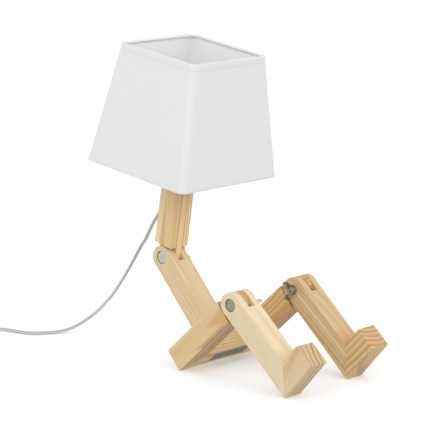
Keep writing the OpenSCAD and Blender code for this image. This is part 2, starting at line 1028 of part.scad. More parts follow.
module switch_screw_set(d, len, head, head_h) {
    for (side = [-1, 1])
        translate([side * (switch_l / 2 - 6), 0, 0]) {
            cylinder(d = head, h = head_h);
            cylinder(d = d, h = len);
        }
}

module switch_base() {
    color("white")
        in_switch()
            difference() {
                switch_shell(0, switch_h / 2, switch_wall, switch_h);
                translate([0, 0, -seat_gap])
                    switch_screw_set(2.5 + 2 * glue_gap, switch_h, 5.4, 1.6 + seat_gap);
            }
}

module switch_cover() {
    color("white")
        in_switch()
            difference() {
                union() {
                    switch_shell(switch_h / 2, switch_h, 0, switch_h - switch_wall);
                    for (side = [-1, 1])
                        translate([-4, side * (rocker_w / 2 + 1.4) - 1, switch_h / 2])
                            cube([8, 2, switch_h / 2 - 1]);
                }
                switch_screw_set(2.5 + 2 * glue_gap, switch_h - 2, 5.4, 1.6);
                translate([0, 0, switch_h])
                    cube([2 * rocker_r + 1, rocker_w + 0.8, 2 * switch_h], center = true);
                translate([0, 0, rocker_z])
                    rotate([90, 0, 0])
                        cylinder(d = trunnion_d + 0.1, h = rocker_w + 4, center = true);
            }
}

module switch_rocker() {
    rise = switch_h + 2.4 - rocker_z;
    color("white")
        in_switch()
            translate([0, 0, rocker_z])
                rotate([90, rocker_tilt, 0]) {
                    intersection() {
                        cylinder(r = rocker_r, h = rocker_w, center = true);
                        translate([0, 0, -rocker_w])
                            linear_extrude(2 * rocker_w)
                                polygon([[-rocker_r - 1, -3], [rocker_r + 1, -3],
                                    [rocker_r + 1, rise + 1.6], [0, rise - 0.4],
                                    [-rocker_r - 1, rise + 1.6]]);
                    }
                    cylinder(d = trunnion_d, h = rocker_w + 3.6, center = true);
                }
}

module switch_contacts() {
    color("goldenrod")
        in_switch()
            for (side = [-1, 1])
                translate([side * 13, 0, switch_wall + 1.5])
                    cube([8, 8, 3], center = true);
}

module switch_screws() {
    color("silver")
        in_switch()
            switch_screw_set(2.5, switch_h - 2.1, 5, 1.5);
}

// ---- Plug ------------------------------------------------------------------

// Plug frame: x from the cord end to the pins
module in_plug() {
    translate([plug_at[0], plug_at[1], plug_z])
        rotate([0, 0, plug_heading])
            children();
}

// One pin's frame: x from the plug's face outwards
module at_pins() {
    for (side = [-1, 1])
        translate([plug_l, side * pin_pitch / 2, 0])
            rotate([0, 90, 0])
                children();
}

// Body with its cord boot and the bores for both pins' roots
module plug_body() {
    boot = 16;
    color("white")
        in_plug()
            difference() {
                union() {
                    translate([0, 0, -plug_t / 2])
                        linear_extrude(plug_t)
                            polygon([[boot, -6], [boot + 12, -9.5], [plug_l - 16, -plug_w / 2 + 1],
                                [plug_l - 4, -plug_w / 2], [plug_l, -plug_w / 2 + 4],
                                [plug_l, plug_w / 2 - 4], [plug_l - 4, plug_w / 2],
                                [plug_l - 16, plug_w / 2 - 1], [boot + 12, 9.5], [boot, 6]]);
                    rotate([0, 90, 0])
                        cylinder(r1 = cord_d / 2 + 0.7, r2 = 5, h = boot + 0.5);
                }
                at_pins()
                    translate([0, 0, -pin_root])
                        cylinder(d = pin_shaft_d + 2 * seat_gap, h = pin_root + 1);
            }
}

// Round pins outside the body, each with a thinner root inside it
module plug_pins() {
    color("silver")
        in_plug()
            at_pins() {
                translate([0, 0, seat_gap - pin_root])
                    cylinder(d = pin_shaft_d, h = pin_root);
                translate([0, 0, seat_gap])
                    cylinder(d = pin_d, h = pin_len - pin_tip);
                translate([0, 0, seat_gap + pin_len - pin_tip])
                    cylinder(d1 = pin_d, d2 = pin_d - 1.6 * pin_tip, h = pin_tip);
            }
}

// ---- Drawing ---------------------------------------------------------------

thigh_right();
thigh_left();
crossbar();
torso();
frame_dowels();
torso_screws();
rating_plate();
neck_bolt();
neck_washer();
neck_wing_nut();
shin_right();
foot_right();
foot_dowels_right();
knee_bolt_right();
knee_washer_right();
knee_wing_nut_right();
shin_left();
foot_left();
foot_dowels_left();
knee_bolt_left();
knee_washer_left();
knee_wing_nut_left();
neck_cheek_right();
neck_cheek_left();
neck_tongue();
nipple();
nipple_nut();
holder_cap();
holder_body();
contact_block();
screw_shell();
centre_contact();
holder_leads();
strain_relief();
clamp_ring_lower();
clamp_ring_upper();
shade_frame_bottom();
shade_frame_top();
shade_fabric();
shade_hem_bottom();
shade_hem_top();
bulb_cap();
bulb_collar();
bulb_globe();
cord_hanging();
cord_on_floor();
switch_base();
switch_cover();
switch_rocker();
switch_contacts();
switch_screws();
cord_to_coil();
cord_coil();
cord_to_plug();
plug_body();
plug_pins();
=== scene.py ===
import json
import bpy
import numpy as np
from mathutils import Matrix, Vector


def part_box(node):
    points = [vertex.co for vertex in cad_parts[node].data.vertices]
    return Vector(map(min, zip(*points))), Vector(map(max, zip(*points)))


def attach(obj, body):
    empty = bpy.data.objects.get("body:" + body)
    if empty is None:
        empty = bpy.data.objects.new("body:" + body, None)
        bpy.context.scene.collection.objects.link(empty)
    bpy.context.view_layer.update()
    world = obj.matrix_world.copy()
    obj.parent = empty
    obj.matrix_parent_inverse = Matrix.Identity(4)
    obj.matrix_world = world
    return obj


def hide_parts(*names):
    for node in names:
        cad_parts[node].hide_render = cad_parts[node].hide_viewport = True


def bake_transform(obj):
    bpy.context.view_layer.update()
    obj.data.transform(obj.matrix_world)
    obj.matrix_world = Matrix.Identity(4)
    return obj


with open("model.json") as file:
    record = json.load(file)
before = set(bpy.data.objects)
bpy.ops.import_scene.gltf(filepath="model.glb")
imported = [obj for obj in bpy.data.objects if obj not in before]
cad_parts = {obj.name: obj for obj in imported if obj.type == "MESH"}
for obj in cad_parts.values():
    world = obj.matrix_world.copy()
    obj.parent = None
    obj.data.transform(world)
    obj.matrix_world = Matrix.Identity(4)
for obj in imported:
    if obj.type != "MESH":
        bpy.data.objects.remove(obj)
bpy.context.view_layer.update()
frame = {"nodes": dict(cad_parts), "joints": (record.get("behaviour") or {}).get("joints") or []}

joints = {joint["name"]: joint for joint in frame["joints"]}
mm = 0.001
fullTurn = 2 * np.pi


# Shader arithmetic: a Wire is one socket, and maths on it adds the Math nodes
class Wire:
    def __init__(self, paint, socket):
        self.paint = paint
        self.socket = socket

    def math(self, operation, *values):
        inputs = dict(enumerate(values))
        return self.paint.add("Math", {"operation": operation}, inputs)

    def __add__(self, other):
        return self.math("ADD", self, other)

    def __radd__(self, other):
        return self.math("ADD", other, self)

    def __sub__(self, other):
        return self.math("SUBTRACT", self, other)

    def __rsub__(self, other):
        return self.math("SUBTRACT", other, self)

    def __mul__(self, other):
        return self.math("MULTIPLY", self, other)

    def __rmul__(self, other):
        return self.math("MULTIPLY", other, self)

    def __truediv__(self, other):
        return self.math("DIVIDE", self, other)

    def __rtruediv__(self, other):
        return self.math("DIVIDE", other, self)

    def __abs__(self):
        return self.math("ABSOLUTE", self)

    def fraction(self):
        return self.math("FRACT", self)

    def floor(self):
        return self.math("FLOOR", self)

    def sine(self):
        return self.math("SINE", self)

    def root(self):
        return self.math("SQRT", self)

    def step(self, low, high):  # rises smoothly from 0 at low to 1 at high
        settings = {"interpolation_type": "SMOOTHSTEP"}
        return self.paint.add("MapRange", settings, {"Value": self, 1: low, 2: high})


class Tree:
    def __init__(self, owner):
        owner.use_nodes = True
        self.tree = owner.node_tree

    # Adds any node: settings are made first, then inputs are linked or set
    def add(self, kind, settings=None, inputs=None, output=0):
        node = self.tree.nodes.new("ShaderNode" + kind)
        for key, value in (settings or {}).items():
            if key == "stops":
                self.setStops(node.color_ramp.elements, value)
            else:
                setattr(node, key, value)
        for key, value in (inputs or {}).items():
            self.plug(node.inputs[key], value)
        return Wire(self, node.outputs[output])

    # Stops of a ramp as (position, grey)
    def setStops(self, elements, stops):
        while len(elements) < len(stops):
            elements.new(0.5)
        for element, (position, grey) in zip(elements, stops):
            element.position = position
            element.color = (grey, grey, grey, 1.0)

    def plug(self, socket, value):
        if isinstance(value, Wire):
            self.tree.links.new(value.socket, socket)
        elif isinstance(value, tuple) and len(value) == 3 and len(socket.default_value) == 4:
            socket.default_value = (*value, 1.0)
        else:
            socket.default_value = value

    def parts(self, vector):
        split = self.add("SeparateXYZ", inputs={0: vector}).socket.node
        return [Wire(self, out) for out in split.outputs]


# A material, whose finish sets sockets of its shader by name
class Paint(Tree):
    def __init__(self, name, **finish):
        self.material = bpy.data.materials.new(name)
        super().__init__(self.material)
        self.surface = self.tree.nodes["Principled BSDF"]
        for socket, value in finish.items():
            self.feed(socket.replace("_", " "), value)

    def feed(self, socket, value):
        self.plug(self.surface.inputs[socket], value)

    # Object coordinates in millimetres, seen from a place and along three axes
    def place(self, origin=(0, 0, 0), axes=((1, 0, 0), (0, 1, 0), (0, 0, 1))):
        turn = Matrix(axes).transposed().to_euler()
        where = self.add("TexCoord", output=3)
        inputs = {"Vector": where, "Location": origin, "Rotation": turn, "Scale": (mm, mm, mm)}
        return self.add("Mapping", {"vector_type": "TEXTURE"}, inputs)

    def join(self, x, y, z):
        return self.add("CombineXYZ", inputs={0: x, 1: y, 2: z})

    def noise(self, vector, scale, detail=2.0, rough=0.5):
        inputs = {"Vector": vector, "Scale": scale, "Detail": detail, "Roughness": rough}
        return self.add("TexNoise", inputs=inputs)

    def blend(self, factor, first, second):
        node = self.add("Mix", {"data_type": "RGBA"}, {"Factor": factor}).socket.node
        self.plug(node.inputs[6], first)
        self.plug(node.inputs[7], second)
        return Wire(self, node.outputs[2])

    def relief(self, height, depth, strength):  # depth in millimetres
        inputs = {"Height": height, "Distance": depth * mm, "Strength": strength}
        self.feed("Normal", self.add("Bump", inputs=inputs))


# One material on CAD nodes, in place of what they had
def dress(paint, *nodes):
    for node in nodes:
        mesh = frame["nodes"][node].data
        mesh.materials.clear()
        mesh.materials.append(paint.material)


# Camera: angles in degrees, distance and aim in metres, lens in mm
cameraView = {
    "azimuth": -46.149,
    "elevation": 11.343,
    "distance": 2.5,
    "aim": (0.0, 0.03826, 0.181356),
    "lens": 171.536,
}


# It stands at the distance from the aim, on a ray given by azimuth and elevation
def addCamera(view):
    azimuth, elevation = np.radians([view["azimuth"], view["elevation"]])
    back = Vector((np.sin(azimuth) * np.cos(elevation),
                   -np.cos(azimuth) * np.cos(elevation), np.sin(elevation)))
    camera = bpy.data.objects.new("camera", bpy.data.cameras.new("camera"))
    camera.data.lens = view["lens"]
    camera.data.sensor_width = 36.0
    camera.data.clip_end = 20.0
    camera.location = Vector(view["aim"]) + view["distance"] * back
    camera.rotation_euler = back.to_track_quat("Z", "Y").to_euler()
    bpy.context.scene.collection.objects.link(camera)
    bpy.context.scene.camera = camera


addCamera(cameraView)
print("camera placed")


# Quads of a grid of points, as vertex numbers and as grid places for the UV map
def gridFaces(rows, columns, closedRows):
    row, column = np.meshgrid(np.arange(rows if closedRows else rows - 1),
                              np.arange(columns), indexing="ij")
    cornerRows = np.stack([row, row, row + 1, row + 1], -1).reshape(-1, 4)
    cornerColumns = np.stack([column, column + 1, column + 1, column], -1).reshape(-1, 4)
    faces = (cornerRows % rows) * columns + cornerColumns % columns
    return faces, cornerRows, cornerColumns


# Mesh from a grid whose columns close on themselves, with U around it and V along it in metres. A
# negative volume means that the faces point inwards, so they are turned; open ends get one face each.
def gridPiece(name, grid, around, along, closedRows=False):
    rows, columns = grid.shape[:2]
    points = grid.reshape(-1, 3)
    faces, cornerRows, cornerColumns = gridFaces(rows, columns, closedRows)
    uv = np.stack([around[cornerColumns], along[cornerRows]], -1)
    a, b, c, d = (points[faces[:, k]] for k in range(4))
    volume = np.sum(a * (np.cross(b, c) + np.cross(c, d)))
    if volume < 0:
        faces, uv = faces[:, ::-1], uv[:, ::-1]
    polygons = faces.tolist()
    uv = uv.reshape(-1, 2)
    if not closedRows:
        ends = [np.arange(columns), np.arange(columns)[::-1] + (rows - 1) * columns]
        polygons += [end[::-1].tolist() if volume > 0 else end.tolist() for end in ends]
        uv = np.concatenate([uv, np.zeros((2 * columns, 2))])
    mesh = bpy.data.meshes.new(name)
    mesh.from_pydata(points.tolist(), [], polygons)
    mesh.polygons.foreach_set("use_smooth", np.ones(len(polygons), bool))
    mesh.uv_layers.new(name="surface").data.foreach_set("uv", uv.ravel())
    piece = bpy.data.objects.new(name, mesh)
    bpy.context.scene.collection.objects.link(piece)
    return piece


# Cord: clear twin lead from the strain relief to the plug, through the switch, in mm
cordFacts = {
    "width": 5.2,
    "height": 4.2,
    "waistDepth": 0.16,
    "waistSpread": 0.34,
    "step": 2.5,
    "coilAt": (-200, 306),
    "coilOuter": 37.5,
    "coilInner": 17.5,
    "coilPitch": 5.0,
    "coilRise": 4.3,
    "coilHop": 0.5,
    "turns": 6.94,
    "strandPitch": 9.0,
    "bands": 4,
    "dark": (0.25, 0.245, 0.225),
    "light": (0.76, 0.755, 0.71),
    "seam": (0.40, 0.40, 0.39),
}
onFloor = 2.6  # height of the lead's middle where it lies
hangPoints = [
    [0, 124.3, 201.3], [0.3, 126.1, 196.6], [3, 131, 187], [5.5, 140, 171], [7, 154, 153],
    [11, 170, 132], [14, 184, 117], [15, 200, 95], [13, 215, 72], [8, 229, 50], [4, 236, 40],
    [-1, 242, 31], [-8, 248, 22.5], [-17, 252.5, 16], [-28, 257, 9.8], [-41, 263, 5], [-54, 270, onFloor],
]
floorPoints = [
    [-66, 278, onFloor], [-75, 284, onFloor], [-82.5, 294, onFloor], [-87, 307, onFloor],
    [-90, 321, onFloor], [-94, 334, onFloor], [-100, 345, onFloor], [-108, 353.5, 3], [-119, 359.5, 4],
    [-130, 361, 5],
]
linkPoints = [
    [-145, 361, 5], [-167, 361, 5], [-189, 361, 5], [-204, 361, 5], [-214, 359, 4], [-224, 352, 3],
    [-232, 341, onFloor], [-236.5, 328, onFloor],
]
tailPoints = [[-235, 300, 8], [-239, 286, 7], [-243, 272, 7]]


# Turns of the coil: a spiral inwards on the floor, a hop onto it, and a spiral outwards on top
def coilPoints(facts, pointsPerTurn=24):
    outer, inner, pitch = facts["coilOuter"], facts["coilInner"], facts["coilPitch"]
    down, hop = (outer - inner) / pitch, facts["coilHop"]
    turns = np.arange(0, facts["turns"], 1 / pointsPerTurn)
    hopped = np.clip((turns - down) / hop, 0, 1)
    radius = np.where(turns < down, outer - pitch * turns,
                      inner + pitch / 2 * hopped + pitch * np.clip(turns - down - hop, 0, None))
    height = onFloor + facts["coilRise"] * hopped * hopped * (3 - 2 * hopped)
    angle = np.radians(180 + 360 * turns)
    x, y = facts["coilAt"]
    return np.stack([x + radius * np.cos(angle), y + radius * np.sin(angle), height], 1)


# Cubic curve through the points (Catmull-Rom), cut again into equal steps
def smoothPath(points, step, cuts=12):
    points = np.asarray(points, float)
    before = np.vstack([2 * points[0] - points[1], points[:-1]])[:-1]
    after = np.vstack([points[1:], 2 * points[-1] - points[-2]])[1:]
    a, b = points[:-1, None], points[1:, None]
    p, q = before[:, None], after[:, None]
    k = np.linspace(0, 1, cuts, endpoint=False)[None, :, None]
    curve = 0.5 * (2 * a + (b - p) * k + (2 * p - 5 * a + 4 * b - q) * k ** 2
                   + (3 * a - p - 3 * b + q) * k ** 3)
    curve = np.vstack([curve.reshape(-1, 3), points[-1:]])
    run = np.concatenate([[0], np.cumsum(np.linalg.norm(np.diff(curve, axis=0), axis=1))])
    even = np.linspace(0, run[-1], int(run[-1] / step) + 1)
    return np.stack([np.interp(even, run, curve[:, k]) for k in range(3)], 1), even


# Outline of the twin lead: an ellipse whose height dips in the middle by a bell curve
def twinSection(facts, count=24):
    angle = np.linspace(0, fullTurn, count, endpoint=False)
    waist = 1 - facts["waistDepth"] * np.exp(-(np.cos(angle) / facts["waistSpread"]) ** 2)
    return np.stack([facts["width"] / 2 * np.cos(angle), facts["height"] / 2 * np.sin(angle) * waist], 1)


# Section carried along a path, its wide side level: side = way x up, top = side x way
def sweep(path, section):
    way = np.gradient(path, axis=0)
    way /= np.linalg.norm(way, axis=1, keepdims=True)
    side = np.cross(way, [0.0, 0.0, 1.0])
    side /= np.linalg.norm(side, axis=1, keepdims=True)
    top = np.cross(side, way)
    return path[:, None] + section[None, :, :1] * side[:, None] + section[None, :, 1:] * top[:, None]


# The section swept along the whole route, closed at both ends
def addCord(facts):
    route = np.vstack([hangPoints, floorPoints, linkPoints, coilPoints(facts), tailPoints])
    path, run = smoothPath(route, facts["step"])
    section = twinSection(facts)
    grid = sweep(path, section) * mm
    around = np.linspace(0, np.pi * facts["width"] * mm, len(section) + 1)
    cord = gridPiece("mains_cord", grid, around, run * mm)
    print("cord length", round(run[-1] * mm, 3))
    return cord, path * mm


# Clear sheath over two stranded cores, which show through it as bands along the lead
def cordPaint(facts):
    paint = Paint("clear twin lead", Roughness=0.28, Coat_Weight=0.7, Coat_Roughness=0.1, IOR=1.5)
    across, along, _ = paint.parts(paint.add("TexCoord", output=2))
    around = across / (np.pi * facts["width"] * mm)
    bands = (around * (facts["bands"] * fullTurn) + fullTurn / 4).sine() * 0.5 + 0.5
    twist = ((along / (facts["strandPitch"] * mm) + around * 7) * (3 * fullTurn)).sine() * 0.5 + 0.5
    seam = abs(((around * 2 + 0.5).fraction() - 0.5) * 2).step(0.86, 1.0)
    cloud = paint.noise(paint.place(), 0.08, 3.0)
    shade = bands * 0.66 + twist * bands * 0.2 + cloud * 0.26
    colour = paint.blend(shade, facts["dark"], facts["light"])
    paint.feed("Base Color", paint.blend(seam * 0.3, colour, facts["seam"]))
    paint.relief(twist * bands, 0.04, 0.3)
    return paint


cord, cordPath = addCord(cordFacts)
cord.data.materials.append(cordPaint(cordFacts).material)
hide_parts("cord_hanging", "cord_on_floor", "cord_to_coil", "cord_coil", "cord_to_plug")
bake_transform(cord)
print("cord laid")


# Places of the limbs: axes of the side view turned by a slope, x along the limb
def sideAxes(slope):
    turn = np.radians(slope)
    along = (0.0, -np.cos(turn), np.sin(turn))
    across = (0.0, np.sin(turn), np.cos(turn))
    return along, across, (-1.0, 0.0, 0.0)


# The opposite direction
def negative(axis):
    return tuple(-value for value in axis)


neckPivot = tuple(joints["neck_tilt"]["pos_m"])
kneeRight = tuple(joints["knee_right"]["pos_m"])
kneeLeft = tuple(joints["knee_left"]["pos_m"])
heelLine = (0.0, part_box("crossbar")[1][1], 0.0)  # on the floor, below the rear of the crossbar

# Slopes of the limbs in degrees from level
framePitch = 42.0
shinSlope = 41.33
neckSlope = 80.5
thighAxes = sideAxes(framePitch)
torsoAxes = sideAxes(framePitch - 90)
shinAxes = sideAxes(-shinSlope)
footAxes = (shinAxes[1], negative(shinAxes[0]), shinAxes[2])
neckAxes = sideAxes(neckSlope)
crossbarAxes = ((1.0, 0.0, 0.0), thighAxes[0], tuple(np.cross((1.0, 0.0, 0.0), thighAxes[0])))

# Pine: each board has its own pith, in mm across the grain, its own rings and its own figure.
# A streak is (axis, place, half width, drift along the grain, tint, amount), a fade is (axis,
# from, to, amount) and a knot is (middle, reach, amount).
orange, straw, cream = (0.66, 0.37, 0.14), (0.84, 0.71, 0.49), (0.96, 0.825, 0.56)
amber, sienna = (0.58, 0.30, 0.11), (0.50, 0.26, 0.10)
tawny, umber = (0.50, 0.28, 0.10), (0.34, 0.19, 0.075)
boards = {
    "thigh_right": {
        "origin": kneeRight, "axes": thighAxes, "early": (0.760, 0.565, 0.310), "seed": 3.1,
        "pith": (6, -64), "lean": (0.0, 0.012), "ring": 9.0, "late": 1.15, "endRing": 3.6,
        "fade": ("across", -14, -8, 0.85),
        "flare": {"tip": (-60, 2.5), "tilt": -0.14, "spread": 0.27, "amount": 0.8},
        # The sienna band at -16.6 spans the whole underside face: painted shade on that face, over its grain
        "streaks": [("across", 13, 2.0, 0.0, straw, 0.3), ("across", -16.6, 2.2, 0.0, sienna, 0.3),
                    ("side", -1.6, 1.2, 0.0, umber, 0.75), ("side", 2.6, 0.9, 0.0, umber, 0.6),
                    ("side", -8.5, 1.2, 0.0, umber, 0.5)],
    },
    "thigh_left": {
        "origin": kneeLeft, "axes": thighAxes, "early": (0.72, 0.48, 0.205), "seed": 8.4,
        "pith": (-78, -12), "lean": (0.01, 0.02), "ring": 5.6, "late": 0.9,
        "streaks": [("across", -11, 4.2, 0.0, amber, 0.85),
                    # The sienna band at -16.6 spans the whole underside face: painted shade on that face,
                    # over its grain
                    ("across", -16.6, 2.2, 0.0, sienna, 0.35),
                    ("side", -7, 1.8, 0.0, umber, 0.75), ("side", 3, 1.5, 0.0, umber, 0.7)],
    },
    "crossbar": {
        "origin": heelLine, "axes": crossbarAxes, "early": (0.80, 0.59, 0.325), "seed": 5.5,
        "pith": (45, -40), "lean": (0.06, 0.02), "ring": 4.2, "late": 0.7,
    },
    "torso": {
        "origin": neckPivot, "axes": torsoAxes, "early": (0.770, 0.610, 0.375), "seed": 1.7,
        "pith": (-72, -8), "lean": (0.0, 0.03), "ring": 6.4, "late": 0.5,
        "fade": ("side", 6, 12, 0.55),
        "streaks": [("across", -13.6, 2.2, 0.0, orange, 0.38), ("side", -12.6, 2.6, 0.0, orange, 0.45),
                    ("across", 2.0, 0.7, 0.0, orange, 0.35), ("across", 10.3, 0.9, 0.0, orange, 0.3)],
    },
    "shin_right": {
        "origin": kneeRight, "axes": shinAxes, "early": (0.815, 0.690, 0.465), "seed": 6.2,
        "pith": (-66, 20), "lean": (0.03, 0.01), "ring": 4.0, "late": 0.27, "wander": 8,
    },
    "foot_right": {
        "origin": kneeRight, "axes": footAxes, "early": (0.730, 0.575, 0.355), "seed": 2.3,
        "pith": (-130, -57), "lean": (0.0, 0.02), "ring": 7.0, "late": 1.2,
        "fade": ("side", 4, 13, 0.75),
        "flare": {"tip": (2, -114), "tilt": 0.34, "spread": 0.16, "amount": 0.5},
    },
    "shin_left": {
        "origin": kneeLeft, "axes": shinAxes, "early": (0.660, 0.485, 0.265), "seed": 9.6,
        "pith": (-60, 30), "lean": (0.045, 0.02), "ring": 5.6, "late": 0.66,
        "streaks": [("across", -13, 1.7, 0.045, tawny, 0.8),
                    ("across", 1.5, 1.6, 0.045, straw, 0.6)],
        "knot": ((88, 14, 9), 11, 0.55),
    },
    "foot_left": {
        "origin": kneeLeft, "axes": footAxes, "early": (0.730, 0.510, 0.255), "seed": 4.8,
        "pith": (-44, -8), "lean": (-0.09, 0.0), "ring": 6.6, "late": 1.2,
    },
    "neck_cheek_right": {
        "origin": neckPivot, "axes": neckAxes, "early": (0.805, 0.570, 0.290), "seed": 7.4,
        "pith": (8, -60), "lean": (0.01, 0.0), "ring": 3.6, "late": 0.4, "wander": 2.5,
        "streaks": [("across", 11.2, 5.2, -0.02, cream, 0.95), ("side", 5.2, 0.5, 0.0, sienna, 0.7),
                    ("side", 12.2, 0.7, 0.0, orange, 0.35)],
    },
    "neck_cheek_left": {
        "origin": neckPivot, "axes": neckAxes, "early": (0.945, 0.700, 0.385), "seed": 3.9,
        "pith": (-20, 58), "lean": (0.0, 0.02), "ring": 4.6, "late": 0.6, "wander": 3,
        "streaks": [("side", -5.4, 0.6, 0.0, sienna, 0.8)],
    },
    "neck_tongue": {
        "origin": neckPivot, "axes": neckAxes, "early": (0.930, 0.680, 0.385), "seed": 6.8,
        "pith": (50, 6), "lean": (0.01, 0.02), "ring": 4.2, "late": 0.6, "wander": 3,
        "streaks": [("side", 4.4, 0.45, 0.0, sienna, 0.85)],
    },
}
# Figure that all boards share; noise scales are per mm, along the grain and across it
pine = {
    "lateTone": (0.44, 0.215, 0.075),
    # End-grain tone: the end grain's own colour, made deeper as painted shade for the fork slots
    "endGrainAndShadeTone": (0.42, 0.225, 0.095),
    "fibreTone": (0.56, 0.33, 0.12),
    "slow": (0.010, 0.030),
    "fine": (0.05, 0.3),
    "fibre": (0.035, 2.3),
    "pore": (0.11, 3.4),
    "cloud": (0.02, 0.07),
    "wander": 9,
    "waver": 0.9,
    "streakSoft": 0.9,
    "flareEdge": (-4.5, 1.5),
    "flareTip": (0, 16),
    "flareSide": (-4, 10),
    # End-grain darkening: partly the end grain's own tone, partly painted shade in the fork slots
    "endFacing": (0.35, 0.92),
    "endGrainAndShadeDark": 0.26,
    "endRings": 0.71,
    "rough": 0.58,
}


# 1 inside a band of the coordinate and 0 outside it, with soft sides
def band(coordinate, place, half, soft):
    return 1 - abs(coordinate - place).step(half - soft, half + soft)


# Each ring darkens slowly and ends sharply, some rings more than others
def lateWood(paint, phase, seed):
    strength = paint.add("TexWhiteNoise", {"noise_dimensions": "1D"}, {"W": phase.floor() + seed})
    stops = [(0.0, 0.0), (0.36, 0.05), (0.64, 0.40), (0.82, 1.0), (0.95, 0.95), (1.0, 0.0)]
    return paint.add("ValToRGB", {"stops": stops}, {0: phase.fraction()}) * (strength * 0.6 + 0.4)


# Noise drawn out along the grain; the seed shifts it along the grain, or across it
def grainNoise(paint, places, scales, seed, detail=2.0, rough=0.5, shiftAcross=False):
    low, high = scales
    along, across, side = places[0] * low, places[1] * high, places[2] * high
    where = (along, across + seed, side) if shiftAcross else (along + seed, across, side)
    return paint.noise(paint.join(*where), 1.0, detail, rough)


# Rings: distance from the pith, bent by slow and fine noise; on the faces and on the end grain
def ringLines(paint, board, facts, places, seed):
    along, across, side = places
    slow = grainNoise(paint, places, facts["slow"], seed)
    fine = grainNoise(paint, places, facts["fine"], seed)
    dAcross = across - board["pith"][0] - along * board["lean"][0]
    dSide = side - board["pith"][1] - along * board["lean"][1]
    radius = (dAcross * dAcross + dSide * dSide).root()
    radius = radius + (slow - 0.5) * board.get("wander", facts["wander"]) + (fine - 0.5) * facts["waver"]
    line = lateWood(paint, radius / board["ring"], seed)
    ends = lateWood(paint, radius / board["endRing"], seed) if "endRing" in board else line
    if "fade" in board:  # the rings pale from one place to another
        axis, low, high, amount = board["fade"]
        line = line * (1 - (across if axis == "across" else side).step(low, high) * amount)
    return line, ends


# Streaks along the grain with wavy edges, paler where they cross late wood
def addStreaks(paint, colour, board, facts, places, late, wave):
    along, across, side = places
    for axis, place, half, drift, tint, amount in board.get("streaks", []):
        coordinate = (across if axis == "across" else side) - along * drift
        inside = band(coordinate + wave * (half * 0.12), place, half, min(facts["streakSoft"], half))
        colour = paint.blend(inside * amount * (1 - late * 0.4), colour, tint)
    return colour


# A pointed orange figure that widens from its tip along the grain
def addFlare(paint, colour, flare, facts, places, wave):
    along, across, side = places
    ahead = along - flare["tip"][0]
    off = abs(across - flare["tip"][1] - ahead * flare["tilt"]) - ahead * flare["spread"] + wave * 0.5
    inside = ((1 - off.step(*facts["flareEdge"])) * ahead.step(*facts["flareTip"])
              * side.step(*facts["flareSide"]))
    return paint.blend(inside * flare["amount"], colour, orange)


# A soft egg-shaped figure, longer along the grain
def addKnot(paint, colour, knot, places, wave):
    centre, reach, amount = knot
    along, across, side = (place - middle for place, middle in zip(places, centre))
    along = along * 0.6
    far = (along * along + across * across + side * side).root() + wave
    return paint.blend((1 - far.step(reach * 0.3, reach)) * amount, colour, orange)


# Rings on the early wood, then streaks and figures, end grain with its own dark tone and painted shade,
# fibres and pores
def pinePaint(name, board, facts):
    paint = Paint("pine " + name.replace("_", " "))
    places = paint.parts(paint.place(board["origin"], board["axes"]))
    seed = board["seed"] * 37
    late, endLines = ringLines(paint, board, facts, places, seed)
    fibre = grainNoise(paint, places, facts["fibre"], seed, 4.0, 0.65, shiftAcross=True)
    pore = grainNoise(paint, places, facts["pore"], seed, 1.0, shiftAcross=True).step(0.70, 0.80)
    cloud = grainNoise(paint, places, facts["cloud"], seed)
    wave = (cloud - 0.5) * 5
    colour = paint.blend(late * board["late"], board["early"], facts["lateTone"])
    colour = addStreaks(paint, colour, board, facts, places, late, wave)
    if "flare" in board:
        colour = addFlare(paint, colour, board["flare"], facts, places, wave)
    if "knot" in board:
        colour = addKnot(paint, colour, board["knot"], places, wave)
    facing = paint.add("VectorMath", {"operation": "DOT_PRODUCT"},
                       {0: paint.add("TexCoord", output=1), 1: board["axes"][0]}, output=1)
    # End-grain faces turn darker: their own tone, and painted shade at tongue ends and shoulders in the
    # slots
    end = abs(facing).step(*facts["endFacing"])
    colour = paint.blend(end * (facts["endGrainAndShadeDark"] + endLines * facts["endRings"]), colour, facts["endGrainAndShadeTone"])
    colour = paint.blend((cloud - 0.5) * 0.4 + 0.06, colour, facts["fibreTone"])
    colour = paint.blend((fibre - 0.5) * 0.34 + 0.04, colour, facts["fibreTone"])
    colour = paint.blend(pore * 0.3, colour, umber)
    paint.feed("Base Color", colour)
    paint.feed("Roughness", facts["rough"] - late * 0.12 + (fibre - 0.5) * 0.16)
    paint.relief(late * 0.5 + fibre * 0.6 - pore * 0.5, 0.10, 0.5)
    return paint


for node, board in boards.items():
    dress(pinePaint(node, board, pine), node)
print("timber finished")


